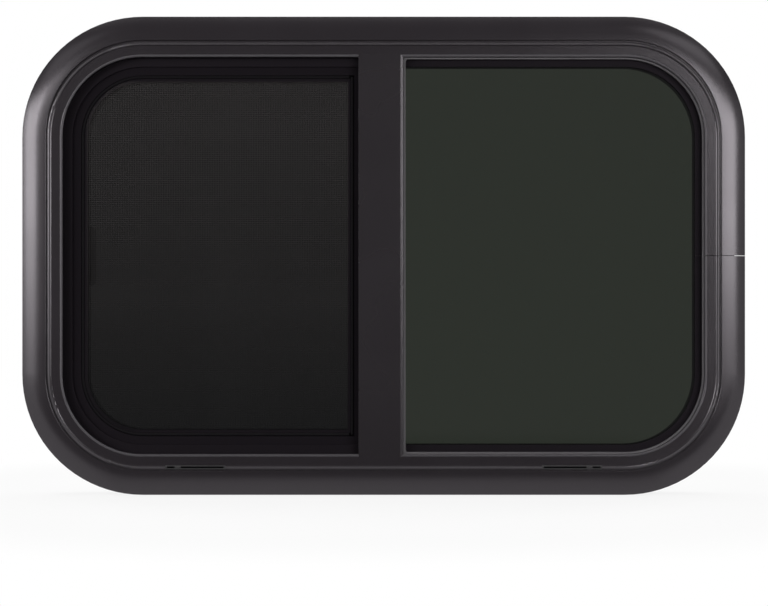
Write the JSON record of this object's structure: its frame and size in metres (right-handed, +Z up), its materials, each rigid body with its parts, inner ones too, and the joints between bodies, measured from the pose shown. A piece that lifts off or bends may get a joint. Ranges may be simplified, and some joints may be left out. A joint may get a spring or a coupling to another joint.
{
  "type": "sliding caravan window",
  "caption": "Round-cornered sliding caravan window: flanged black frame, tinted fixed pane, insect screen over a sliding pane, and an inner clamp ring with screws.",
  "frame": {"origin": "centre of the wall opening, in the plane of the wall's outer face, on which the flange's flat toe bears", "axes": "+X to the right as seen from outside, along the window's length; +Y into the caravan, through the wall; +Z up. The outside of the window faces -Y"},
  "size_m": [0.6, 0.0447, 0.397],
  "materials": {
    "frame_black": "satin black powder coat on extruded aluminium",
    "clamp_black": "satin black powder coat on extruded aluminium",
    "screen_black": "matt black paint on roll-formed aluminium",
    "mesh_black": "woven insect screen, coated strands",
    "tinted_glass": "green-grey tinted safety glass, bare, with no mark",
    "sliding_glass": "green-grey tinted safety glass, bare",
    "seal_rubber": "matt black rubber",
    "bead_vinyl": "dark grey vinyl with a dull sheen",
    "pile_seal": "short black pile",
    "black_plastic": "moulded, fine grain",
    "latch_plastic": "moulded, fine grain",
    "zinc": "bright zinc plate",
    "steel_plate": "plain rolled steel"
  },
  "bodies": {
    "root": {"outer_frame": "frame_black", "joint_plate": "steel_plate", "joint_rivets": "steel_plate", "weep_cover_left": "black_plastic", "weep_cover_right": "black_plastic", "mullion": "frame_black", "mullion_screws": "zinc", "fixed_glass": "tinted_glass", "fixed_gasket": "seal_rubber", "glazing_bead": "bead_vinyl", "screen_frame": "screen_black", "screen_mesh": "mesh_black", "screen_spline": "seal_rubber", "track_liner": "seal_rubber", "sliding_glass": "sliding_glass", "sash_stile": "frame_black", "meeting_seal": "pile_seal", "latch_body": "latch_plastic", "latch_lever": "latch_plastic", "latch_tongue": "zinc", "latch_keeper": "steel_plate", "clamp_ring": "clamp_black", "clamp_screw_01": "zinc", "clamp_screw_02": "zinc", "clamp_screw_03": "zinc", "clamp_screw_04": "zinc", "clamp_screw_05": "zinc", "clamp_screw_06": "zinc", "clamp_screw_07": "zinc", "clamp_screw_08": "zinc", "clamp_screw_09": "zinc", "clamp_screw_10": "zinc", "clamp_screw_11": "zinc", "clamp_screw_12": "zinc"}
  },
  "joints": []
}
